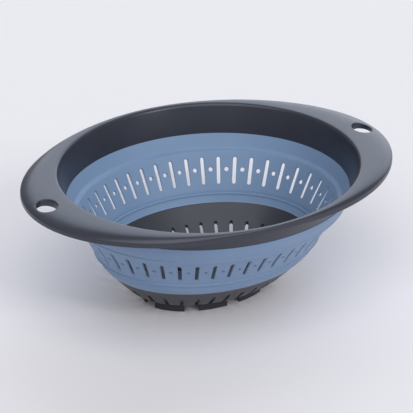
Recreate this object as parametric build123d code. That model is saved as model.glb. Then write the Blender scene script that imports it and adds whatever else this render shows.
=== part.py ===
from build123d import *
import math
import os

# A collapsible colander: a stiff rim with two handles, a soft folding wall and a stiff base.
# Millimetres. The origin is on the floor under the middle of the bowl, +Z up,
# and the handles lie along X.
# Every level of the bowl is an oval: half its length is its mean radius plus its
# stretch, and half its width is its mean radius less its stretch.

# Outline over the flange and the two handles, and what lies inside it
overall_length = 348.5
overall_width = 248.8
overall_height = 123.0
handle_reach = 34.05
side_reach = 1.0
base_stretch_gain = 3.4

# Heights above the floor, as shares of the overall height
rim_wall_bottom_share = 0.78862
cuff_bottom_share = 0.69431
band_bottom_share = 0.40813
base_rim_share = 0.3496
dish_round_share = 0.187

# Mean radii, as shares of the crest's
rim_wall_radius_share = 0.90895
cuff_radius_share = 0.86798
band_top_radius_share = 0.83536
band_bottom_radius_share = 0.69196
base_rim_radius_share = 0.66389
dish_round_radius_share = 0.52504
floor_radius_share = 0.33384
foot_radius_share = 0.38316

# Rim: the bowl's rolled lip, and the flange that widens into the two handles
rim_wall = 2.2
lip_roll = 5.0
lip_roll_steps = 5
lip_start_turn = math.radians(18)
flange_drop = 4.7
flange_drop_power = 2.6
flange_side_spread = 1.6
flange_rings = 8
flange_reach_share = 1.06
flange_wall = 2.0
skirt_wall = 2.2
skirt_depth = 4.3
hang_hole_radius = 8.75
hang_hole_inset = 14.75
collar_wall = 2.4
collar_depth = 6.6

# Soft wall
soft_wall = 2.2
fold_wall = 1.2
edge_wall = 1.3
edge_rise = 3.8
lower_cuff_gap = 0.4
lap_wall = 1.1
lap_step = 0.4
upper_lap = 6.0
lower_lap = 6.0

# Drain slots and round holes in the slotted band
band_slots = 44
slot_width = 3.3
slot_top_margin = 5.5
slot_bottom_margin = 8.2
round_hole_diameter = 3.3
round_hole_share = 0.46

# Base dish and its feet
floor_height = 9.0
base_wall = 2.7
base_floor = 2.5
dish_round_power = 2
dish_round_steps = 6
base_slots = 36
base_slot_width = 3.3
base_slot_climb = 21.0
base_slot_run = 17.4
base_slot_clearance = 8.0
middle_slots = 18
middle_slot_length = 12.0
middle_slot_radius_share = 0.807
foot_wall = 2.6
foot_gaps = 8
foot_gap_width = 13.0
foot_gap_start_share = 0.13
foot_cut_depth = 8.0

# One overrun serves every cut
overrun = 1.0
arc_samples = 720

crest_length = overall_length / 2 - handle_reach
crest_width = overall_width / 2 - side_reach
crest_radius = (crest_length + crest_width) / 2
stretch_at_crest = (crest_length - crest_width) / 2
stretch_at_base = stretch_at_crest + base_stretch_gain
rim_wall_bottom = overall_height * rim_wall_bottom_share
cuff_bottom = overall_height * cuff_bottom_share
band_bottom = overall_height * band_bottom_share
base_rim_height = overall_height * base_rim_share
dish_round_height = overall_height * dish_round_share
rim_wall_bottom_radius = crest_radius * rim_wall_radius_share
cuff_bottom_radius = crest_radius * cuff_radius_share
band_top_radius = crest_radius * band_top_radius_share
band_bottom_radius = crest_radius * band_bottom_radius_share
base_rim_radius = crest_radius * base_rim_radius_share
dish_round_radius = crest_radius * dish_round_radius_share
floor_radius = crest_radius * floor_radius_share
foot_radius = crest_radius * foot_radius_share
hang_hole_distance = overall_length / 2 - hang_hole_inset
collar_bottom = overall_height - collar_depth
band_top = cuff_bottom - fold_wall
lower_cuff_top = band_bottom - fold_wall
lower_cuff_radius = band_bottom_radius - lower_cuff_gap - soft_wall
upper_lap_top = rim_wall_bottom + upper_lap
lower_lap_bottom = base_rim_height - lower_lap
floor_underside = floor_height - base_floor

# Stations, each a mean radius and a height, on the inner face of the bowl from the top down
lip_start = (
    crest_radius - lip_roll * math.cos(lip_start_turn),
    overall_height - lip_roll + lip_roll * math.sin(lip_start_turn),
)
rim_low = (rim_wall_bottom_radius, rim_wall_bottom)
cuff_low = (cuff_bottom_radius, cuff_bottom)
band_high = (band_top_radius, band_top)
band_low = (band_bottom_radius, band_bottom)
dish_high = (base_rim_radius, base_rim_height)
dish_low = (dish_round_radius, dish_round_height)


def stretch_at(height):
    """The oval's stretch at a height: the same up to the band, then falling to the crest."""
    share = max(0.0, (height - band_bottom) / (overall_height - band_bottom))
    return stretch_at_base + (stretch_at_crest - stretch_at_base) * share


def oval(mean_radius, height):
    """A flat oval face of the bowl at one height."""
    stretch = stretch_at(height)
    return Pos(0, 0, height) * Ellipse(mean_radius + stretch, mean_radius - stretch)


def stack(stations):
    """A solid through the ovals of a list of stations, from the bottom up."""
    return loft([oval(radius, height) for radius, height in stations], ruled=True)


def radius_at(low, high, height):
    """The mean radius at a height on the straight line through two stations."""
    share = (height - low[1]) / (high[1] - low[1])
    return low[0] + (high[0] - low[0]) * share


def grown(stations, thickness):
    """The same stations with every mean radius larger by a wall's thickness."""
    return [(radius + thickness, height) for radius, height in stations]


def even_angles(count, mean_radius, height, start_share=0.0):
    """Angles that space copies evenly by their distance along the oval."""
    long_half = mean_radius + stretch_at(height)
    short_half = mean_radius - stretch_at(height)
    turn_step = 2 * math.pi / arc_samples
    lengths = [0.0]
    for step in range(arc_samples):
        angle = turn_step * (step + 1 / 2)
        pace = math.hypot(long_half * math.sin(angle), short_half * math.cos(angle))
        lengths.append(lengths[-1] + pace)
    angles = []
    for copy in range(count):
        wanted = lengths[-1] * (copy + start_share) / count
        step = max(index for index in range(arc_samples) if lengths[index] <= wanted)
        part_step = (wanted - lengths[step]) / (lengths[step + 1] - lengths[step])
        angles.append(turn_step * (step + part_step))
    return angles


def wall_point(station, angle):
    """The point of a station's oval at an angle."""
    radius, height = station
    stretch = stretch_at(height)
    return Vector((radius + stretch) * math.cos(angle), (radius - stretch) * math.sin(angle), height)


def wall_plane(low, high, height, angle):
    """A plane on the wall between two stations: local X runs up the wall and local Z points out."""
    radius = radius_at(low, high, height)
    stretch = stretch_at(height)
    up_wall = wall_point(high, angle) - wall_point(low, angle)
    along = Vector(-(radius + stretch) * math.sin(angle), (radius - stretch) * math.cos(angle), 0)
    return Plane(origin=wall_point((radius, height), angle), x_dir=up_wall, z_dir=along.cross(up_wall))


def level_plane(mean_radius, height, angle):
    """A level plane on an oval: local X points straight out across the oval's edge."""
    stretch = stretch_at(height)
    outward = Vector((mean_radius - stretch) * math.cos(angle), (mean_radius + stretch) * math.sin(angle), 0)
    return Plane(origin=wall_point((mean_radius, height), angle), x_dir=outward, z_dir=(0, 0, 1))


def rim_inside():
    """Stations of the rim's inner face, with the lip as part of a round up to the crest."""
    stations = [rim_low]
    for step in range(lip_roll_steps + 1):
        turn = lip_start_turn + (math.pi / 2 - lip_start_turn) * step / lip_roll_steps
        radius = crest_radius - lip_roll * math.cos(turn)
        height = overall_height - lip_roll + lip_roll * math.sin(turn)
        stations.append((radius, height))
    return stations


def crown(lowered):
    """Everything under the flange's domed top, with the dome lowered by a distance."""
    rings = []
    for step in range(flange_rings + 1):
        share = flange_reach_share * (1 - step / flange_rings)
        height = overall_height - lowered - flange_drop * share ** flange_drop_power
        face = Ellipse(crest_length + handle_reach * share, crest_width + flange_side_spread * share)
        rings.append(Pos(0, 0, height) * face)
    low_height = overall_height - lowered - flange_drop - skirt_depth * 2
    share = flange_reach_share
    low_face = Ellipse(crest_length + handle_reach * share, crest_width + flange_side_spread * share)
    return loft([Pos(0, 0, low_height) * low_face] + rings, ruled=True)


def outline_block(inset):
    """An upright block on the rim's outer outline, drawn in by a wall's thickness."""
    face = Ellipse(overall_length / 2 - inset, overall_width / 2 - inset)
    return extrude(face, overall_height + overrun)


def hang_posts(radius, bottom):
    """Upright posts at the two hanging holes, from a height to above the crest."""
    post = extrude(Circle(radius), overall_height + overrun - bottom)
    return [Pos(side * hang_hole_distance, 0, bottom) * post for side in (-1, 1)]


def rim_wall_block():
    """The solid inside the rim wall's outer face, drawn in where the soft wall laps over it."""
    lap_top_radius = radius_at(rim_low, lip_start, upper_lap_top)
    lap = grown([rim_low, (lap_top_radius, upper_lap_top)], rim_wall - lap_wall)
    full = grown([(lap_top_radius, upper_lap_top), lip_start], rim_wall)
    under_crest = (crest_radius, overall_height - flange_wall / 2)
    return stack(lap) + stack(full + [under_crest])


def make_rim_frame():
    """The stiff rim: bowl wall, domed flange with its skirt, and the hanging holes' collars."""
    top = crown(0.0) & outline_block(0.0)
    flange = top - crown(skirt_depth)
    hollow = crown(flange_wall) & outline_block(skirt_wall)
    frame = flange - hollow
    for post in hang_posts(hang_hole_radius + collar_wall, collar_bottom):
        frame = frame + (post & top)
    wall_slope = (lip_start[0] - rim_low[0]) / (lip_start[1] - rim_low[1])
    below = (rim_low[0] - overrun * wall_slope, rim_low[1] - overrun)
    frame = frame + rim_wall_block() - stack([below] + rim_inside())
    for hole in hang_posts(hang_hole_radius, collar_bottom - overrun):
        frame = frame - hole
    return frame


def thin_edge(low, high):
    """Stations of a soft ring's outer face at its lower edge, where it thins towards a fold."""
    full_height = low[1] + edge_rise
    full = (radius_at(low, high, full_height) + soft_wall, full_height)
    return grown([low], edge_wall) + [full]


def make_upper_cuff():
    """The plain soft ring under the rim, with a lap that climbs the outside of the rim's wall."""
    lap_top_radius = radius_at(rim_low, lip_start, upper_lap_top)
    lap_faces = [rim_low, (lap_top_radius, upper_lap_top)]
    outer_faces = grown(lap_faces, rim_wall + lap_step)
    outer = stack(thin_edge(cuff_low, rim_low) + outer_faces)
    return outer - stack([cuff_low, rim_low]) - stack(grown(lap_faces, rim_wall - lap_wall))


def make_upper_fold():
    """The thin soft ledge that bends between the cuff and the slotted band."""
    outer_radius = cuff_bottom_radius + edge_wall
    outer = stack([(outer_radius, band_top), (outer_radius, cuff_bottom)])
    return outer - stack([band_high, (band_top_radius, cuff_bottom)])


def band_cutters():
    """The band's upright slots and the round holes between them."""
    slot_top = band_top - slot_top_margin
    slot_bottom = band_bottom + slot_bottom_margin
    slot_middle = (slot_top + slot_bottom) / 2
    slope = (band_high[0] - band_low[0]) / (band_high[1] - band_low[1])
    slot_length = (slot_top - slot_bottom) * math.hypot(1, slope)
    hole_height = slot_top + (slot_bottom - slot_top) * round_hole_share
    depth = soft_wall + overrun
    slot = extrude(SlotOverall(slot_length, slot_width), depth, both=True)
    hole = extrude(Circle(round_hole_diameter / 2), depth, both=True)
    middle_radius = radius_at(band_low, band_high, slot_middle)
    cutters = []
    for angle in even_angles(band_slots, middle_radius, slot_middle):
        cutters.append(wall_plane(band_low, band_high, slot_middle, angle) * slot)
    for angle in even_angles(band_slots, middle_radius, slot_middle, start_share=1 / 2):
        cutters.append(wall_plane(band_low, band_high, hole_height, angle) * hole)
    return cutters


def make_slotted_band():
    """The soft band with the drain slots, which turns over as the bowl folds."""
    outer = thin_edge(band_low, band_high) + grown([band_high], soft_wall)
    return stack(outer) - stack([band_low, band_high]) - band_cutters()


def make_lower_fold():
    """The thin soft ledge that bends between the slotted band and the lower cuff."""
    outer_radius = band_bottom_radius + edge_wall
    outer = stack([(outer_radius, lower_cuff_top), (outer_radius, band_bottom)])
    return outer - stack([(lower_cuff_radius, lower_cuff_top), (lower_cuff_radius, band_bottom)])


def base_wall_face(thickness):
    """Stations of the base wall where the soft wall laps it, moved out by a thickness."""
    lap_bottom_radius = radius_at(dish_low, dish_high, lower_lap_bottom)
    return grown([(lap_bottom_radius, lower_lap_bottom), dish_high], thickness)


def make_lower_cuff():
    """The plain soft ring over the base, with a lap down the outside of the base's wall."""
    cuff_top = (lower_cuff_radius, lower_cuff_top)
    outer = stack(base_wall_face(base_wall + lap_step) + grown([cuff_top], soft_wall))
    return outer - stack([dish_high, cuff_top]) - stack(base_wall_face(base_wall - lap_wall))


def dish_inside():
    """Stations of the dish's inner face, from the flat floor up round into the sloping wall."""
    stations = []
    for step in range(dish_round_steps + 1):
        share = step / dish_round_steps
        radius = floor_radius + (dish_round_radius - floor_radius) * share
        height = floor_height + (dish_round_height - floor_height) * share ** dish_round_power
        stations.append((radius, height))
    return stations


def dish_outside():
    """Stations of the dish's outer face, as thick as the floor below and as the wall above."""
    stations = []
    for step, (radius, height) in enumerate(dish_inside()):
        share = step / dish_round_steps
        drop = base_floor * (1 - share ** dish_round_power)
        stations.append((radius + base_wall * share, height - drop))
    return stations


def base_slot_cutters():
    """The base's slots: each climbs the wall and runs in round the dish to the foot."""
    bottom = floor_underside - overrun / 2
    slot_height = floor_height + base_slot_climb - bottom
    arch_height = slot_height - base_slot_width / 2
    wall_radius = dish_round_radius + base_wall
    stem = Pos(0, arch_height / 2) * Rectangle(base_slot_width, arch_height)
    arch = stem + Pos(0, arch_height) * Circle(base_slot_width / 2)
    end = extrude(Circle(base_slot_width / 2), slot_height)
    cutters = []
    for angle in even_angles(base_slots, wall_radius, dish_round_height):
        place = level_plane(wall_radius, bottom, angle)
        outside = place.origin + place.x_dir * base_slot_clearance
        inside = place.origin - place.x_dir * base_slot_run
        across = Plane(origin=outside, x_dir=-place.y_dir, z_dir=-place.x_dir)
        cutters.append(across * extrude(arch, base_slot_run + base_slot_clearance))
        cutters.append(Plane(origin=inside, z_dir=(0, 0, 1)) * end)
    return cutters


def middle_slot_cutters():
    """A ring of slots nearer the middle of the floor."""
    slot = extrude(SlotOverall(middle_slot_length, base_slot_width), base_floor + overrun * 2)
    middle_slot_radius = floor_radius * middle_slot_radius_share
    angles = even_angles(middle_slots, middle_slot_radius, floor_height)
    return [level_plane(middle_slot_radius, floor_underside - overrun, angle) * slot for angle in angles]


def foot_gap_cutters():
    """The gaps that split the foot into short feet."""
    block = extrude(Rectangle(foot_cut_depth, foot_gap_width), floor_height)
    middle_radius = foot_radius - foot_wall / 2
    angles = even_angles(foot_gaps, middle_radius, 0, start_share=foot_gap_start_share)
    return [level_plane(middle_radius, 0, angle) * block for angle in angles]


def make_base_dish():
    """The stiff base: a round-bottomed dish with drain slots, on a ring of feet."""
    outside = stack(dish_outside() + base_wall_face(base_wall)[:1])
    outside = outside + stack(base_wall_face(base_wall - lap_wall))
    above_height = base_rim_height + overrun
    inside = stack(dish_inside() + [(radius_at(dish_low, dish_high, above_height), above_height)])
    foot_outer = stack([(foot_radius, 0), (foot_radius, floor_height)])
    foot_inner = stack([(foot_radius - foot_wall, 0), (foot_radius - foot_wall, floor_height)])
    feet = foot_outer - foot_inner - foot_gap_cutters()
    return outside - inside + feet - base_slot_cutters() - middle_slot_cutters()


os.makedirs("parts", exist_ok=True)
pieces = {
    "rim_frame": make_rim_frame,
    "upper_cuff": make_upper_cuff,
    "upper_fold": make_upper_fold,
    "slotted_band": make_slotted_band,
    "lower_fold": make_lower_fold,
    "lower_cuff": make_lower_cuff,
    "base_dish": make_base_dish,
}
for name, make in pieces.items():
    piece = make()
    solids = piece.solids()
    print(name, "solids", len(solids), "volume", round(piece.volume), "size", piece.bounding_box().size)
    export_step(solids[0], f"parts/{name}.step")
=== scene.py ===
# %% [markdown]
# # A folding colander
# The object is a kitchen colander that folds flat. A stiff dark rim with two handles
# and a stiff dark base are joined by one soft blue wall. This notebook dresses the
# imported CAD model: the frame comes first, because every piece has to sit where the
# CAD bodies are, and each later cell makes one real piece or one finish. Sizes are given
# in millimetres, and a pair of them is a mean radius and a height unless it says more.

# %% Load the frame
import math

import bmesh
import bpy
from mathutils import Matrix, Vector


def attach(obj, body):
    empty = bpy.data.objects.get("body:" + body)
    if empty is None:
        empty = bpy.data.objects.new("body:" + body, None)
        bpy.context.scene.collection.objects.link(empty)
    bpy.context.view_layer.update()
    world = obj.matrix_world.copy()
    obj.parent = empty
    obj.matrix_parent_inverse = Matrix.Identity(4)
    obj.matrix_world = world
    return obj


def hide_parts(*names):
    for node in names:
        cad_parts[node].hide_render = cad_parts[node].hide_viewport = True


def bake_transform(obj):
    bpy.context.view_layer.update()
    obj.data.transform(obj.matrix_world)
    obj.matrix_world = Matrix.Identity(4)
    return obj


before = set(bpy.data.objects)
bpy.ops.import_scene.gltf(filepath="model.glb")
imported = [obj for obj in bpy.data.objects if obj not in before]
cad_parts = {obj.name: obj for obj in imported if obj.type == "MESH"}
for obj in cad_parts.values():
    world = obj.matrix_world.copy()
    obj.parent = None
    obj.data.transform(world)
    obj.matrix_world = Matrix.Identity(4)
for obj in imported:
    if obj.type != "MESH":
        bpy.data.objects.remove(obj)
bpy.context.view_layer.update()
MM = 0.001

# %% [markdown]
# ## The camera
# The photograph was taken with a long lens from 28 degrees above level, with the near
# handle to the left. A long lens far away keeps the ovals of the bowl nearly alike from
# top to bottom, so the camera is placed by its angles and distance around a point
# inside the bowl, not by eye. The two level directions of the picture, to its right and
# away from the viewer, serve the lights again later.

# %% Place the camera
VIEW_TURN = math.radians(30.66)
VIEW_DROP = math.radians(28.01)
VIEW_ROLL = math.radians(1.24)
LENS_MM, SENSOR_MM = 227.05, 36
DISTANCE = 2302.3 * MM
FARTHEST_SEEN = 20
AIM_RIGHT, AIM_HIGH = -1.67, 81.28
UP = Vector((0, 0, 1))
PICTURE_RIGHT = Vector((math.cos(VIEW_TURN), -math.sin(VIEW_TURN), 0))
PICTURE_AHEAD = Vector((math.sin(VIEW_TURN), math.cos(VIEW_TURN), 0))
AIM = (PICTURE_RIGHT * AIM_RIGHT + UP * AIM_HIGH) * MM


def linked(name, data):
    """A new object that shows the data in the scene."""
    thing = bpy.data.objects.new(name, data)
    bpy.context.scene.collection.objects.link(thing)
    return thing


def make_camera():
    ahead = PICTURE_AHEAD * math.cos(VIEW_DROP) - UP * math.sin(VIEW_DROP)
    upright = PICTURE_RIGHT.cross(ahead)
    right = PICTURE_RIGHT * math.cos(VIEW_ROLL) + upright * math.sin(VIEW_ROLL)
    up = upright * math.cos(VIEW_ROLL) - PICTURE_RIGHT * math.sin(VIEW_ROLL)
    lens = bpy.data.cameras.new("photo_camera")
    lens.sensor_width = SENSOR_MM
    lens.lens = LENS_MM
    lens.clip_end = FARTHEST_SEEN
    camera = linked("photo_camera", lens)
    turn = Matrix((right, up, -ahead)).transposed().to_4x4()
    camera.matrix_world = Matrix.Translation(AIM - ahead * DISTANCE) @ turn
    bpy.context.scene.camera = camera
    return camera


camera = make_camera()
print("camera at", [round(v, 3) for v in camera.location])

# %% [markdown]
# ## The oval
# Every level of the bowl is an oval. Its half length is a mean radius plus a stretch,
# and its half width is the mean radius less the same stretch. The stretch is even up to
# the middle tier's foot and falls from there to the crest, so the base is a longer oval
# than the rim. One helper that turns a mean radius, a height and an angle into a point
# keeps all pieces in step.

# %% Points on the bowl's ovals
HEIGHT = 123.0
BAND_FOOT = 50.2
STRETCH_AT_BASE = 11.8
STRETCH_AT_CREST = 8.4
CREST_RADIUS = 131.8


def stretch_at(height):
    share = max(0, (height - BAND_FOOT) / (HEIGHT - BAND_FOOT))
    return STRETCH_AT_BASE + (STRETCH_AT_CREST - STRETCH_AT_BASE) * share


def on_oval(radius, height, angle):
    stretch = stretch_at(height)
    return Vector(((radius + stretch) * math.cos(angle), (radius - stretch) * math.sin(angle), height))


CREST_HALF = (CREST_RADIUS + stretch_at(HEIGHT), CREST_RADIUS - stretch_at(HEIGHT))
print("half axes of the crest in mm", [round(half, 1) for half in CREST_HALF])

# %% [markdown]
# ## Rings from sections
# The rim, the wall and the base are all rings: one section carried round the oval.
# Spinning a profile would only give round rings, and a bevelled curve can't change its
# section on the way, so each ring is skinned from its sections. A section is a list of
# corners, each with the size of its rounding, and a corner with a size becomes a short
# curve, because moulded plastic and silicone have no sharp edges. Points that fall
# together are merged, which closes the middle of the base's floor.

# %% Round corners and skin a ring
RING_TURNS = 480
CORNER_STEPS, CORNER_REACH = 5, 0.45
SLIGHT = 0.0001


def rounded(corners):
    """Turns the (point, rounding) corners of a loop into a line with a short curve at each."""
    line = []
    for k, (point, size) in enumerate(corners):
        if size <= 0:
            line.append(point)
            continue
        before = corners[k - 1][0] - point
        after = corners[(k + 1) % len(corners)][0] - point
        start = point + before.normalized() * min(size, before.length * CORNER_REACH)
        end = point + after.normalized() * min(size, after.length * CORNER_REACH)
        for step in range(CORNER_STEPS + 1):
            t = step / CORNER_STEPS
            line.append(start * (1 - t) ** 2 + point * 2 * t * (1 - t) + end * t ** 2)
    return line


def made(name, form):
    """The closed shape as an object, with its doubled points merged and its faces outwards."""
    bmesh.ops.remove_doubles(form, verts=form.verts, dist=MM * SLIGHT)
    bmesh.ops.recalc_face_normals(form, faces=form.faces)
    mesh = bpy.data.meshes.new(name)
    form.to_mesh(mesh)
    form.free()
    return linked(name, mesh)


def bridged(form, here, there, closed=True):
    """Adds the faces between two rows of points."""
    for k in range(len(here) if closed else len(here) - 1):
        after = (k + 1) % len(here)
        form.faces.new((here[k], there[k], there[after], here[after]))


def skin(name, section_at, turns=RING_TURNS, closed=True, capped=False):
    """Skins a ring from the sections at evenly spaced angles, given in millimetres."""
    form = bmesh.new()
    rings = []
    for turn in range(turns):
        section = section_at(2 * math.pi * turn / turns)
        rings.append([form.verts.new(point * MM) for point in section])
    for turn in range(turns):
        bridged(form, rings[turn], rings[(turn + 1) % turns], closed)
    if capped:
        form.faces.new([ring[0] for ring in rings])
        form.faces.new([ring[-1] for ring in reversed(rings)])
    return made(name, form)


print("each ring has", RING_TURNS, "sections, and each rounded corner", CORNER_STEPS + 1, "points")

# %% [markdown]
# ## Cutters placed by Geometry Nodes
# Slots, round holes and the gaps between the feet all repeat round an oval at equal
# steps of its length. An Array modifier with a curve would bend its copies, so a node
# tree does it for all of them: it samples an oval curve at even steps, stands a cutter
# on each sample with its own axes along the wall and out of it, and makes the copies
# real. Its inputs are the cutter, the oval and its height, the count, where the first
# copy sits, how the wall leans there and the finish.

# %% The node tree that places cutters round an oval
OVAL_POINTS = 720


def worked_out(tree, kind, operation, *values):
    """The result of a math node on values that are sockets or constants."""
    node = tree.nodes.new(kind)
    node.operation = operation
    for socket, value in zip(node.inputs, values):
        if isinstance(value, bpy.types.NodeSocket):
            tree.links.new(value, socket)
        else:
            socket.default_value = value
    return node.outputs[0]


def placing_tree():
    tree = bpy.data.node_groups.new("cutters_round_an_oval", "GeometryNodeTree")
    sockets = {
        "Cutter": "NodeSocketObject", "Half axes": "NodeSocketVector", "Height": "NodeSocketFloat",
        "Count": "NodeSocketInt", "Start share": "NodeSocketFloat", "Lean": "NodeSocketVector",
        "Finish": "NodeSocketMaterial",
    }
    for name, kind in sockets.items():
        tree.interface.new_socket(name, in_out="INPUT", socket_type=kind)
    tree.interface.new_socket("Cutters", in_out="OUTPUT", socket_type="NodeSocketGeometry")
    given = tree.nodes.new("NodeGroupInput").outputs
    circle = tree.nodes.new("GeometryNodeCurvePrimitiveCircle")
    circle.inputs["Resolution"].default_value = OVAL_POINTS
    circle.inputs["Radius"].default_value = 1
    oval = tree.nodes.new("GeometryNodeTransform")
    points = tree.nodes.new("GeometryNodePoints")
    index = tree.nodes.new("GeometryNodeInputIndex").outputs[0]
    step = worked_out(tree, "ShaderNodeMath", "ADD", index, given["Start share"])
    share = worked_out(tree, "ShaderNodeMath", "DIVIDE", step, given["Count"])
    sample = tree.nodes.new("GeometryNodeSampleCurve")
    sample.mode = "FACTOR"
    spot = sample.outputs["Position"]
    leaning = worked_out(tree, "ShaderNodeVectorMath", "MULTIPLY", spot, given["Lean"])
    up_wall = worked_out(tree, "ShaderNodeVectorMath", "ADD", leaning, UP)
    outward = worked_out(tree, "ShaderNodeVectorMath", "CROSS_PRODUCT", sample.outputs["Tangent"], up_wall)
    axes = tree.nodes.new("FunctionNodeAxesToRotation")
    axes.primary_axis = "Z"
    axes.secondary_axis = "X"
    lift = tree.nodes.new("ShaderNodeCombineXYZ")
    place = worked_out(tree, "ShaderNodeVectorMath", "ADD", spot, lift.outputs[0])
    cutter = tree.nodes.new("GeometryNodeObjectInfo")
    copies = tree.nodes.new("GeometryNodeInstanceOnPoints")
    real = tree.nodes.new("GeometryNodeRealizeInstances")
    finish = tree.nodes.new("GeometryNodeSetMaterial")
    out = tree.nodes.new("NodeGroupOutput")
    links = (
        (circle.outputs["Curve"], oval.inputs["Geometry"]),
        (given["Half axes"], oval.inputs["Scale"]),
        (given["Count"], points.inputs["Count"]),
        (oval.outputs[0], sample.inputs["Curves"]),
        (share, sample.inputs["Factor"]),
        (outward, axes.inputs["Primary Axis"]),
        (up_wall, axes.inputs["Secondary Axis"]),
        (given["Height"], lift.inputs["Z"]),
        (place, points.inputs["Position"]),
        (given["Cutter"], cutter.inputs["Object"]),
        (points.outputs[0], copies.inputs["Points"]),
        (cutter.outputs["Geometry"], copies.inputs["Instance"]),
        (axes.outputs[0], copies.inputs["Rotation"]),
        (copies.outputs[0], real.inputs["Geometry"]),
        (real.outputs[0], finish.inputs["Geometry"]),
        (given["Finish"], finish.inputs["Material"]),
        (finish.outputs[0], out.inputs[0]),
    )
    for source, target in links:
        tree.links.new(source, target)
    return tree


placing = placing_tree()
print("placing tree has", len(placing.nodes), "nodes")

# %% [markdown]
# ## The finishes
# The rim and the base are a stiff plastic with a fine satin grain from the mould. The
# wall is silicone, softer to the light and very slightly mottled. A painted image would
# need every piece unwrapped, so each finish is a small set of noise textures in object
# coordinates and stays the same size on every piece: a broad one shades the colour a
# little, and fine ones vary the gloss and the grain. Dust and wear would be more noise,
# but the object is new.

# %% Make the three finishes
SHADE_SCALE, SHADE_DETAIL, SHADE_FROM, SHADE_TO = 28, 3, 0.3, 0.7
GLOSS_SCALE, GLOSS_DETAIL, GLOSS_SWING = 160, 4, 0.05
GRAIN_DETAIL, GRAIN_STRENGTH = 2, 0.35
COOL_SHINE = (0.86, 0.91, 1, 1)


def moulded(name, dark, light, roughness, grain_size, grain_height, ior, sheen=0.0):
    """A moulded surface: two near colours, a varied gloss and a fine grain."""
    finish = bpy.data.materials.new(name)
    finish.use_nodes = True
    nodes, links = finish.node_tree.nodes, finish.node_tree.links
    shader = nodes["Principled BSDF"]
    place = nodes.new("ShaderNodeTexCoord").outputs["Object"]

    def noise(scale, detail):
        texture = nodes.new("ShaderNodeTexNoise")
        texture.inputs["Scale"].default_value = scale
        texture.inputs["Detail"].default_value = detail
        links.new(place, texture.inputs["Vector"])
        return texture.outputs["Fac"]

    shade = nodes.new("ShaderNodeValToRGB")
    shade.color_ramp.elements[0].position = SHADE_FROM
    shade.color_ramp.elements[0].color = (*dark, 1)
    shade.color_ramp.elements[1].position = SHADE_TO
    shade.color_ramp.elements[1].color = (*light, 1)
    links.new(noise(SHADE_SCALE, SHADE_DETAIL), shade.inputs["Fac"])
    links.new(shade.outputs["Color"], shader.inputs["Base Color"])
    gloss = nodes.new("ShaderNodeMapRange")
    gloss.inputs["To Min"].default_value = roughness - GLOSS_SWING
    gloss.inputs["To Max"].default_value = roughness + GLOSS_SWING
    links.new(noise(GLOSS_SCALE, GLOSS_DETAIL), gloss.inputs["Value"])
    links.new(gloss.outputs["Result"], shader.inputs["Roughness"])
    bump = nodes.new("ShaderNodeBump")
    bump.inputs["Strength"].default_value = GRAIN_STRENGTH
    bump.inputs["Distance"].default_value = grain_height * MM
    links.new(noise(1 / (grain_size * MM), GRAIN_DETAIL), bump.inputs["Height"])
    links.new(bump.outputs["Normal"], shader.inputs["Normal"])
    shader.inputs["Sheen Weight"].default_value = sheen
    shader.inputs["IOR"].default_value = ior
    shader.inputs["Specular Tint"].default_value = COOL_SHINE
    return finish


rim_finish = moulded(
    "rim_plastic", dark=(0.029, 0.031, 0.045), light=(0.034, 0.037, 0.051),
    roughness=0.32, grain_size=0.9, grain_height=0.05, ior=1.54,
)
base_finish = moulded(
    "base_plastic", dark=(0.032, 0.033, 0.043), light=(0.037, 0.039, 0.049),
    roughness=0.4, grain_size=0.9, grain_height=0.05, ior=1.5,
)
wall_finish = moulded(
    "wall_silicone", dark=(0.185, 0.285, 0.445), light=(0.2, 0.3, 0.465),
    roughness=0.5, grain_size=0.7, grain_height=0.06, ior=1.43, sheen=0.08,
)
print("finishes", [finish.name for finish in (rim_finish, base_finish, wall_finish)])

# %% [markdown]
# ## Cutting tools
# A slot in a moulded wall has softened edges, so the cutter is not a plain bar: it is a
# stack of the same rounded outline, a little larger where it leaves each face of the
# wall. A bevel on the finished ring would have to find the edges of every slot again.
# The same helper makes the round holes, whose outline is a slot of no length.

# %% Make a slot's cutter
HALF_ROUND_STEPS = 8


def slot_cutter(name, length, width, layers):
    """A rounded bar along local X, as outlines grown by an amount at each depth."""
    form = bmesh.new()
    stack = []
    straight = (length - width) / 2
    for depth, growth in layers:
        radius = width / 2 + growth
        ring = []
        for side in (1, -1):
            for step in range(HALF_ROUND_STEPS + 1):
                angle = math.pi * (step / HALF_ROUND_STEPS - 0.5)
                spot = Vector((straight + radius * math.cos(angle), radius * math.sin(angle), 0)) * side
                ring.append(form.verts.new((spot + UP * depth) * MM))
        stack.append(ring)
    for low, high in zip(stack, stack[1:]):
        bridged(form, low, high)
    form.faces.new(list(reversed(stack[0])))
    form.faces.new(stack[-1])
    return made(name, form)


print("the outline of a slot's cutter has", 2 * (HALF_ROUND_STEPS + 1), "points")

# %% [markdown]
# ## Copies, cuts and shading
# The node tree hangs on an empty holder as a modifier, and what it makes is turned into
# a plain mesh before it cuts. Boolean cuts leave a plain closed mesh, which is what a
# mould would give. Each finished piece then gets one finish and smooth shading, with
# crisp edges only where its faces really turn.

# %% Place copies of a cutter and cut with them
CRISP_TURN = math.radians(32)


def baked(thing, name):
    """The evaluated thing as a plain mesh object, in place of the one with modifiers."""
    graph = bpy.context.evaluated_depsgraph_get()
    mesh = bpy.data.meshes.new_from_object(thing.evaluated_get(graph))
    mesh.name = name
    thing.modifiers.clear()
    bpy.data.objects.remove(thing)
    return linked(name, mesh)


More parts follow.
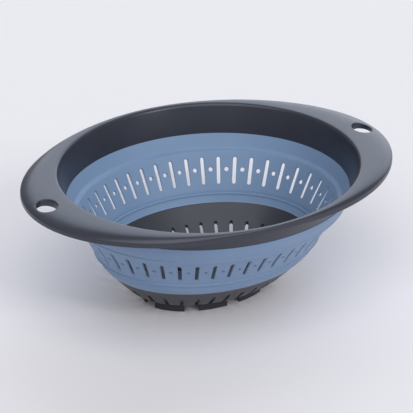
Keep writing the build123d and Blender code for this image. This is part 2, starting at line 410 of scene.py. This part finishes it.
def placed(cutter, radius, height, count, start_share, lean, finish):
    """Copies of a cutter round the oval of a mean radius and height, with the cutter gone."""
    holder = linked("placed_" + cutter.name, bpy.data.meshes.new("empty"))
    nodes = holder.modifiers.new("placing", "NODES")
    nodes.node_group = placing
    stretch = stretch_at(height)
    given = {
        "Cutter": cutter, "Half axes": ((radius + stretch) * MM, (radius - stretch) * MM, 1.0),
        "Height": height * MM, "Count": count, "Start share": start_share, "Lean": lean,
        "Finish": finish,
    }
    for item in placing.interface.items_tree:
        if item.name in given:
            nodes[item.identifier] = given[item.name]
    copies = baked(holder, "copies_of_" + cutter.name)
    bpy.data.objects.remove(cutter)
    return copies


def cut(piece, tools, operation="DIFFERENCE"):
    """The piece after each tool is taken away or joined on, with the tools gone."""
    name = piece.name
    for tool in tools:
        change = piece.modifiers.new("cut", "BOOLEAN")
        change.operation = operation
        change.solver = "MANIFOLD"
        change.object = tool
    plain = baked(piece, name)
    for tool in tools:
        bpy.data.objects.remove(tool)
    return plain


def dressed(piece, finish):
    """The piece with one finish and smooth shading."""
    piece.data.materials.clear()
    piece.data.materials.append(finish)
    piece.data.shade_smooth()
    piece.data.set_sharp_from_angle(angle=CRISP_TURN)
    print(piece.name, "has", sum(len(face.vertices) - 2 for face in piece.data.polygons), "triangles")
    return piece


print("edges are crisp where faces turn more than", round(math.degrees(CRISP_TURN)), "degrees")

# %% [markdown]
# ## The dome of the flange
# The rim runs out as a flange that is narrow at the sides and widens into the two
# handles, and it droops towards their tips. It could be a flat plate bent with a
# lattice, but its height follows a rule, with level lines that grow from the crest's
# oval, so the top, the underside and the hanging holes all ask that rule.

# %% Find heights and edges on the flange
SPREAD = (34.05, 1.6)
OUTLINE_HALF = (174.25, 124.4)
DROOP, DROOP_POWER = 4.7, 3.6
SHARE_LOW, SHARE_HIGH, HALVINGS = -0.9, 1.4, 26


def level_half(share):
    """Half axes of a level line, whose share is none at the crest and one at a handle's tip."""
    return CREST_HALF[0] + SPREAD[0] * share, CREST_HALF[1] + SPREAD[1] * share


def level_point(share, angle):
    half = level_half(share)
    return half[0] * math.cos(angle), half[1] * math.sin(angle)


def in_oval(x, y, half):
    return (x / half[0]) ** 2 + (y / half[1]) ** 2 < 1


def turning_share(is_past):
    """The share where an answer turns from no to yes, found by halving the range."""
    low, high = SHARE_LOW, SHARE_HIGH
    for _ in range(HALVINGS):
        middle = (low + high) / 2
        low, high = (low, middle) if is_past(middle) else (middle, high)
    return (low + high) / 2


def edge_share(angle, inset=0.0):
    """Where the level lines meet the outline at an angle, with the outline drawn in by an inset."""
    outline = [half - inset for half in OUTLINE_HALF]
    return turning_share(lambda share: not in_oval(*level_point(share, angle), outline))


def drooped(share):
    return HEIGHT - DROOP * max(share, 0) ** DROOP_POWER


def dome(x, y):
    """The height of the flange's top over any point."""
    return drooped(turning_share(lambda share: in_oval(x, y, level_half(share))))


def flange_point(share, angle):
    return Vector((*level_point(share, angle), drooped(share)))


print("the tip of a handle lies at", [round(v, 1) for v in flange_point(edge_share(0), 0)], "mm")

# %% [markdown]
# ## The rim
# The rim is one stiff moulding. Its inner wall carries on the slope of the bowl and
# rolls over at the crest into the flange, and a skirt hangs from the flange's edge and
# stiffens it. A flange made apart and joined on would leave a seam, so one section
# runs up the inner wall, out over the top, down the skirt and back underneath. The
# lowest part of the wall is thin on the outside, where the soft wall laps over it.

# %% Shape the rim
RIM_LOW, RIM_TOP, RIM_WALL, LAP_HIGH = (119.8, 97.0), (127.05, 119.55), 2.2, 103.0
LIP_RADIUS, LIP_MIDDLE, LIP_TURN = 3.6, (130.9, 119.4), math.radians(18)
SKIRT_WALL, SKIRT_DEPTH, FLANGE_WALL, UNDER_ROOT = 2.2, 4.3, 2.0, 129.5
EDGE_ROUND, SKIRT_ROUND, UNDER_ROUND, ROOT_ROUND = 1.0, 0.7, 0.6, 0.5
LOW_ROUND, LAP_ROUND = 0.3, 0.2
LIP_STEPS, TOP_STEPS, UNDER_STEPS = 8, 8, 6


def lip_points(angle):
    """The roll from the inner wall up to the crest."""
    points = []
    for step in range(LIP_STEPS + 1):
        turn = LIP_TURN + (math.pi / 2 - LIP_TURN) * step / LIP_STEPS
        radius = LIP_MIDDLE[0] - LIP_RADIUS * math.cos(turn)
        points.append(on_oval(radius, LIP_MIDDLE[1] + LIP_RADIUS * math.sin(turn), angle))
    return points


def under(spot):
    """The point of the flange's underside below a spot."""
    return Vector((spot.x, spot.y, dome(spot.x, spot.y) - FLANGE_WALL))


def rim_section(angle):
    reach = edge_share(angle)
    edge = flange_point(reach, angle)
    inner = flange_point(edge_share(angle, SKIRT_WALL), angle)
    root = on_oval(UNDER_ROOT, HEIGHT - FLANGE_WALL, angle)
    slope = (RIM_TOP[0] - RIM_LOW[0]) / (RIM_TOP[1] - RIM_LOW[1])
    lap_radius = RIM_LOW[0] + slope * (LAP_HIGH - RIM_LOW[1])
    line = [(on_oval(*RIM_LOW, angle), LOW_ROUND)]
    line += [(point, 0) for point in lip_points(angle)]
    line += [(flange_point(reach * step / TOP_STEPS, angle), 0) for step in range(1, TOP_STEPS)]
    line += [
        (edge, EDGE_ROUND),
        (edge - UP * SKIRT_DEPTH, SKIRT_ROUND),
        (Vector((inner.x, inner.y, edge.z - SKIRT_DEPTH)), SKIRT_ROUND),
        (under(inner), UNDER_ROUND),
    ]
    line += [(under(inner.lerp(root, step / UNDER_STEPS)), 0) for step in range(1, UNDER_STEPS)]
    line += [
        (root, ROOT_ROUND),
        (on_oval(lap_radius + RIM_WALL, LAP_HIGH, angle), LAP_ROUND),
        (on_oval(lap_radius + RIM_WALL / 2, LAP_HIGH, angle), LAP_ROUND),
        (on_oval(RIM_LOW[0] + RIM_WALL / 2, RIM_LOW[1], angle), LOW_ROUND),
    ]
    return rounded(line)


rim = skin("rim", rim_section)
print("rim spans in mm", [round(v / MM, 1) for v in rim.dimensions])

# %% [markdown]
# ## The hanging holes
# Each handle has one hole, a little longer across the handle than along it, through a
# short collar on its underside, with a softened top edge. The collar is a plain post
# joined on from below. A bevel round the hole would have to follow the domed top, so
# the hole's cutter flares out along the dome, and the rounding keeps its width all round.
# The last lines give the finished rim its finish, hide the CAD node it replaces and hang it on the body
# that carries it.

# %% Join the collars and cut the holes
HOLE_AT, HOLE_RADIUS, HOLE_STRETCH, HOLE_ROUND = 159.5, 8.75, 1.2, 1.0
COLLAR_WALL, COLLAR_LOW, COLLAR_ROUND = 2.4, 116.4, 0.4
COLLAR_RADIUS = HOLE_RADIUS + COLLAR_WALL
POST_TURNS, FLARE_STEPS, FLARE_OVERRUN = 96, 6, 1.01
CUT_BELOW, CUT_ABOVE = 2.0, 3.0


def turned_post(name, side, levels):
    """A post round a hanging hole, from levels of a radius, a height and whether on the dome."""
    def section_at(angle):
        line = []
        for radius, height, is_on_dome in levels:
            x = side * HOLE_AT + radius * math.cos(angle)
            y = radius * HOLE_STRETCH * math.sin(angle)
            line.append(Vector((x, y, height + (dome(x, y) if is_on_dome else 0))))
        return line
    return skin(name, section_at, POST_TURNS, closed=False, capped=True)


def hole_levels():
    """A straight bore that flares out in a quarter round up to the flange's top."""
    levels = [(HOLE_RADIUS, COLLAR_LOW - CUT_BELOW, False)]
    for step in range(FLARE_STEPS + 1):
        turn = math.pi / 2 * step / FLARE_STEPS
        radius = HOLE_RADIUS + HOLE_ROUND * (1 - math.cos(turn))
        levels.append((radius, HOLE_ROUND * (FLARE_OVERRUN * math.sin(turn) - 1), True))
    return levels + [(HOLE_RADIUS + HOLE_ROUND, HEIGHT + CUT_ABOVE, False)]


collar_levels = [
    (COLLAR_RADIUS - COLLAR_ROUND, COLLAR_LOW, False),
    (COLLAR_RADIUS, COLLAR_LOW + COLLAR_ROUND, False),
    (COLLAR_RADIUS, -FLANGE_WALL / 2, True),
]
rim = cut(rim, [turned_post("collar", side, collar_levels) for side in (-1, 1)], "UNION")
rim = cut(rim, [turned_post("hole", side, hole_levels()) for side in (-1, 1)])
rim = dressed(rim, rim_finish)
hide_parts("rim_frame")
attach(rim, "rim")

# %% [markdown]
# ## The folding wall
# The wall is one silicone moulding in three tiers with a thin ledge between each two.
# The ledges are where it bends: as the rim goes down, the middle tier turns inside out
# and the bowl lies flat. A sheet with an even thickness would be quicker, but the real
# wall is thin at the ledges and full in the tiers, so its section is given corner by
# corner, up the inside and down the outside, with a fine bead outside above each ledge.
# It laps over the rim's wall and the base's wall, where the real parts are moulded onto
# each other.

# %% Shape the wall from corners of a radius, a height and a rounding
INSIDE = [
    (86.6, 43.0, 0.2), (87.2, 43.7, 0.3), (89.9, 48.6, 0.6), (90.1, 50.6, 0.5), (91.6, 50.9, 0.5),
    (91.9, 49.7, 0.3), (92.8, 52.6, 0.4), (96.2, 59.3, 0), (100.9, 67.8, 0), (105.5, 76.2, 0),
    (110.0, 84.4, 0.7), (111.6, 84.3, 0.7), (114.0, 85.5, 0.9), (119.8, 97.0, 0.2), (120.9, 97.0, 0.2),
    (122.85, 103.0, 0.2),
]
OUTSIDE = [
    (124.3, 103.0, 0.4), (122.4, 97.0, 0), (118.2, 89.2, 0.9), (117.1, 87.2, 0.3), (117.4, 86.4, 0.35),
    (116.2, 84.6, 0.8), (113.7, 83.5, 0.8), (112.0, 81.6, 1.2), (107.4, 74.7, 0), (102.7, 67.5, 0),
    (98.5, 60.0, 0), (94.6, 52.9, 0.5), (94.2, 52.0, 0.3), (94.8, 51.0, 0.35), (93.6, 49.3, 0.4),
    (91.6, 49.0, 0.3), (91.0, 47.6, 0.4), (89.8, 43.0, 2.0), (84.7, 36.8, 0.3), (83.5, 37.0, 0.2),
    (88.5, 43.0, 0.2),
]


def wall_section(angle):
    return rounded([(on_oval(radius, height, angle), size) for radius, height, size in INSIDE + OUTSIDE])


wall = skin("folding_wall", wall_section)
print("wall spans in mm", [round(v / MM, 1) for v in wall.dimensions])

# %% [markdown]
# ## Slots and round holes in the wall
# The middle tier drains through upright slots with one small round hole between each
# two. Openings drawn into the ring's own faces would tie its sections to their count,
# so both rings are copies of a cutter at equal steps round the oval, half a step apart,
# standing square to the leaning wall. The finished wall is one mesh between two bodies; it gets its finish,
# the CAD tiers it replaces are hidden, and its placement is baked into its points.

# %% Cut the middle tier
BAND_LOW, BAND_HIGH = (91.2, BAND_FOOT), (110.1, 84.2)
SLOTS, SLOT_WIDTH, HOLE_WIDTH = 44, 3.3, 3.9
SLOT_HIGH, SLOT_DEEP, HOLE_SHARE = 78.7, 57.0, 0.46
WALL_MIDDLE = 1.2
SOFT_FROM, SOFT_TO, SOFTNESS, CUT_REACH = 0.75, 1.45, 0.5, 5.0
band_slope = (BAND_HIGH[0] - BAND_LOW[0]) / (BAND_HIGH[1] - BAND_LOW[1])
outward_layers = [(SOFT_FROM, 0), (SOFT_TO, SOFTNESS), (CUT_REACH, SOFTNESS)]
through = [(-depth, growth) for depth, growth in reversed(outward_layers)] + outward_layers


def band_radius(height):
    return BAND_LOW[0] + (height - BAND_LOW[1]) * band_slope


def band_lean(height):
    """How the tier leans along and across, for each unit of a place on its oval."""
    gain = (stretch_at(BAND_HIGH[1]) - stretch_at(BAND_LOW[1])) / (BAND_HIGH[1] - BAND_LOW[1])
    radius, stretch = band_radius(height), stretch_at(height)
    return (band_slope + gain) / (radius + stretch) / MM, (band_slope - gain) / (radius - stretch) / MM, 0.0


def band_ring(cutter, height, start_share):
    radius = band_radius(height) + WALL_MIDDLE
    return placed(cutter, radius, height, SLOTS, start_share, band_lean(height), wall_finish)


slot_length = (SLOT_HIGH - SLOT_DEEP) * math.hypot(1, band_slope)
hole_height = SLOT_HIGH + (SLOT_DEEP - SLOT_HIGH) * HOLE_SHARE
band_slot = slot_cutter("band_slot", slot_length, SLOT_WIDTH, through)
slots = band_ring(band_slot, (SLOT_HIGH + SLOT_DEEP) / 2, 0.0)
band_hole = slot_cutter("band_hole", HOLE_WIDTH + SLIGHT, HOLE_WIDTH, through)
holes = band_ring(band_hole, hole_height, 0.5)
wall = cut(wall, [slots, holes])
wall = dressed(wall, wall_finish)
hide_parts("upper_cuff", "upper_fold", "slotted_band", "lower_fold", "lower_cuff")
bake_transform(wall)

# %% [markdown]
# ## The base
# The base is a stiff dish with a round bottom. Its wall carries on the slope of the
# bowl and rounds into a flat floor, and it stands on a ring that gaps divide into short
# feet. The round could be a circle's arc, but a parabola is the plainest line that
# leaves the floor level and arrives at the wall's slope. The section runs from the
# middle of the floor out over the wall and back in under the floor, with the foot as a
# step on the way.

# %% Shape the base
FLOOR_RADIUS, FLOOR_HIGH, FLOOR_THICK = 44.0, 9.0, 2.5
ROUND_RADIUS, ROUND_HIGH, BASE_WALL = 69.2, 23.0, 2.7
FOOT_RADIUS, FOOT_WALL, FOOT_ROUND, FOOT_ROOT_ROUND = 50.5, 2.6, 0.6, 0.5
WALL_EDGE = [(86.1, 42.6, 0.7), (86.7, 43.0, 0.1), (88.5, 43.0, 0.2), (83.5, 37.0, 0.1), (84.6, 37.0, 0.3)]
ROUND_STEPS = 12
FLOOR_SHARES = (0.0, 0.25, 0.5, 0.75, 0.93)


def dish_point(share, outside):
    """Mean radius and height on the round, which rises from the floor to the wall."""
    radius = FLOOR_RADIUS + (ROUND_RADIUS - FLOOR_RADIUS) * share
    height = FLOOR_HIGH + (ROUND_HIGH - FLOOR_HIGH) * share ** 2
    if outside:
        return radius + BASE_WALL * share, height - FLOOR_THICK * (1 - share ** 2)
    return radius, height


def share_of(radius):
    """Where on the round's outside a mean radius lies."""
    return (radius - FLOOR_RADIUS) / (ROUND_RADIUS + BASE_WALL - FLOOR_RADIUS)


FOOT_SHARE = share_of(FOOT_RADIUS)


def base_section(angle):
    inside = [dish_point(step / ROUND_STEPS, False) for step in range(1, ROUND_STEPS + 1)]
    shares = [1 - (1 - FOOT_SHARE) * step / ROUND_STEPS for step in range(ROUND_STEPS)]
    corners = [(*spot, 0) for spot in inside] + WALL_EDGE
    corners += [(*dish_point(share, True), 0) for share in shares]
    root_in = dish_point(share_of(FOOT_RADIUS - FOOT_WALL), True)
    corners += [
        (*dish_point(FOOT_SHARE, True), FOOT_ROOT_ROUND), (FOOT_RADIUS, 0.0, FOOT_ROUND),
        (FOOT_RADIUS - FOOT_WALL, 0.0, FOOT_ROUND), (*root_in, FOOT_ROUND),
    ]
    line = rounded([(on_oval(radius, height, angle), size) for radius, height, size in corners])
    edge = on_oval(FLOOR_RADIUS, FLOOR_HIGH, angle)
    under_high = FLOOR_HIGH - FLOOR_THICK
    above = [Vector((edge.x * share, edge.y * share, FLOOR_HIGH)) for share in FLOOR_SHARES]
    below = [Vector((edge.x * share, edge.y * share, under_high)) for share in reversed(FLOOR_SHARES)]
    return above + [edge] + line + below


base = skin("base", base_section, closed=False)
print("base spans in mm", [round(v / MM, 1) for v in base.dimensions])

# %% [markdown]
# ## Slots in the base and gaps in the foot
# Water leaves the base through slots that start on its wall and run in round the dish
# to the foot, with a ring of shorter slots nearer the middle. The same cutters could
# stand square to the wall, but the mould opens straight up, so these slots are cut
# upright, and each shows a dark end face inside the bowl. The foot is broken by wide
# gaps, so water can run away under it.

# %% Cut the base
BASE_SLOTS, WALL_SLOT_FROM, WALL_SLOT_TO = 32, 52.8, 75.2
MIDDLE_SLOTS, MIDDLE_SLOT_FROM, MIDDLE_SLOT_TO = 16, 29.5, 41.5
BASE_SLOT_WIDTH, CUT_AT, CUT_LOW, CUT_HIGH = 3.1, 12.0, -8.0, 26.0
FOOT_GAPS, GAP_START, GAP_WIDTH, GAP_HIGH, GAP_ROUND = 8, 0.13, 13.0, 6.9, 0.8
GAP_LOW, GAP_REACH, GAP_STEPS = -13.0, 4.0, 6
NO_LEAN = (0.0, 0.0, 0.0)


def gap_cutter(name):
    """A bar with rounded top corners that lies along local Z, out across the foot."""
    form = bmesh.new()
    outline = [(GAP_LOW, -GAP_WIDTH / 2), (GAP_LOW, GAP_WIDTH / 2)]
    for side in (1, -1):
        for step in range(GAP_STEPS + 1):
            angle = math.pi / 2 * (1 - step / GAP_STEPS if side > 0 else step / GAP_STEPS)
            across = side * (GAP_WIDTH / 2 - GAP_ROUND + GAP_ROUND * math.sin(angle))
            outline.append((GAP_HIGH - GAP_ROUND + GAP_ROUND * math.cos(angle), across))
    reaches = (-GAP_REACH, GAP_REACH)
    inner, outer = [[form.verts.new(Vector((x, y, z)) * MM) for x, y in outline] for z in reaches]
    bridged(form, inner, outer)
    form.faces.new(inner)
    form.faces.new(outer)
    return made(name, form)


def upright_slots(name, inner, outer, count):
    """Cutters that stand upright and reach from one mean radius out to another."""
    cutter = slot_cutter(name, outer - inner, BASE_SLOT_WIDTH, [(CUT_LOW, 0), (CUT_HIGH, 0)])
    cutter.data.transform(Matrix.Rotation(math.pi / 2, 4, "Y"))
    return placed(cutter, (inner + outer) / 2, CUT_AT, count, 0.0, NO_LEAN, base_finish)


wall_slots = upright_slots("wall_slot", WALL_SLOT_FROM, WALL_SLOT_TO, BASE_SLOTS)
middles = upright_slots("middle_slot", MIDDLE_SLOT_FROM, MIDDLE_SLOT_TO, MIDDLE_SLOTS)
foot_middle = FOOT_RADIUS - FOOT_WALL / 2
gaps = placed(gap_cutter("foot_gap"), foot_middle, 0.0, FOOT_GAPS, GAP_START, NO_LEAN, base_finish)
base = cut(base, [gaps, wall_slots, middles])
base = dressed(base, base_finish)
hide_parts("base_dish")
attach(base, "base")

# %% [markdown]
# ## Floor and background
# The colander stands on a pale seamless surface that fades into the background. A
# curved studio sweep isn't needed, because the camera looks down and sees only floor,
# so a large plain pale sheet is enough. An even, slightly blue sky fills the shadows.

# %% Lay the floor
PAPER_HALF = 6
PAPER_COLOUR, PAPER_ROUGHNESS, PAPER_SHINE = (0.83, 0.808, 0.83, 1), 0.8, 0.1
SKY_COLOUR, SKY_STRENGTH = (0.94, 0.95, 1, 1), 0.34


def plain_floor():
    mesh = bpy.data.meshes.new("floor")
    corners = [(x * PAPER_HALF, y * PAPER_HALF, 0) for x, y in ((-1, -1), (1, -1), (1, 1), (-1, 1))]
    mesh.from_pydata(corners, [], [(0, 1, 2, 3)])
    floor = linked("floor", mesh)
    finish = bpy.data.materials.new("floor_paper")
    finish.use_nodes = True
    shader = finish.node_tree.nodes["Principled BSDF"]
    shader.inputs["Base Color"].default_value = PAPER_COLOUR
    shader.inputs["Roughness"].default_value = PAPER_ROUGHNESS
    shader.inputs["Specular IOR Level"].default_value = PAPER_SHINE
    floor.data.materials.append(finish)
    return floor


def plain_sky():
    world = bpy.data.worlds.new("plain_world")
    world.use_nodes = True
    background = world.node_tree.nodes["Background"]
    background.inputs["Color"].default_value = SKY_COLOUR
    background.inputs["Strength"].default_value = SKY_STRENGTH
    bpy.context.scene.world = world


floor = plain_floor()
plain_sky()
bpy.context.scene.view_settings.view_transform = "Standard"
print("floor spans in m", [round(v, 1) for v in floor.dimensions])

# %% [markdown]
# ## Light
# Three low key suns stand close together at the right and in front, and throw a shadow
# to the left with a soft edge. A wide cool sun from behind shines along the tops of the
# handles, and another wide one in front lights the far wall. Area lamps could do the
# same near the object, but suns need only an angle and light every part alike.

# %% Hang the lights
KEY_TURN, KEY_RISES, KEY_POWER, KEY_SPREAD = 38, (27, 33, 39), 0.22, 4
BACK_TURN, BACK_RISE, BACK_POWER, BACK_SPREAD = -78, 29, 1.4, 60
FRONT_TURN, FRONT_RISE, FRONT_POWER, FRONT_SPREAD = 90, 56, 1.45, 60
BACK_COLOUR, PLAIN = (0.8, 0.88, 1), (1, 1, 1)
LAMP_AWAY = 3


def add_sun(name, turn, rise, power, spread, colour=PLAIN):
    """A sun that stands a turn toward the viewer from the picture's right, all in degrees."""
    lamp = bpy.data.lights.new(name, "SUN")
    lamp.energy = power
    lamp.color = colour
    lamp.angle = math.radians(spread)
    turn, rise = math.radians(turn), math.radians(rise)
    flat = PICTURE_RIGHT * math.cos(turn) - PICTURE_AHEAD * math.sin(turn)
    toward = flat * math.cos(rise) + UP * math.sin(rise)
    sun = linked(name, lamp)
    sun.location = toward * LAMP_AWAY
    sun.rotation_euler = (-toward).to_track_quat("-Z", "Y").to_euler()


for key_rise in KEY_RISES:
    add_sun(f"key_{key_rise}", KEY_TURN, key_rise, KEY_POWER, KEY_SPREAD)
add_sun("back", BACK_TURN, BACK_RISE, BACK_POWER, BACK_SPREAD, BACK_COLOUR)
add_sun("front", FRONT_TURN, FRONT_RISE, FRONT_POWER, FRONT_SPREAD)
print("lights", [lamp.name for lamp in bpy.data.lights])
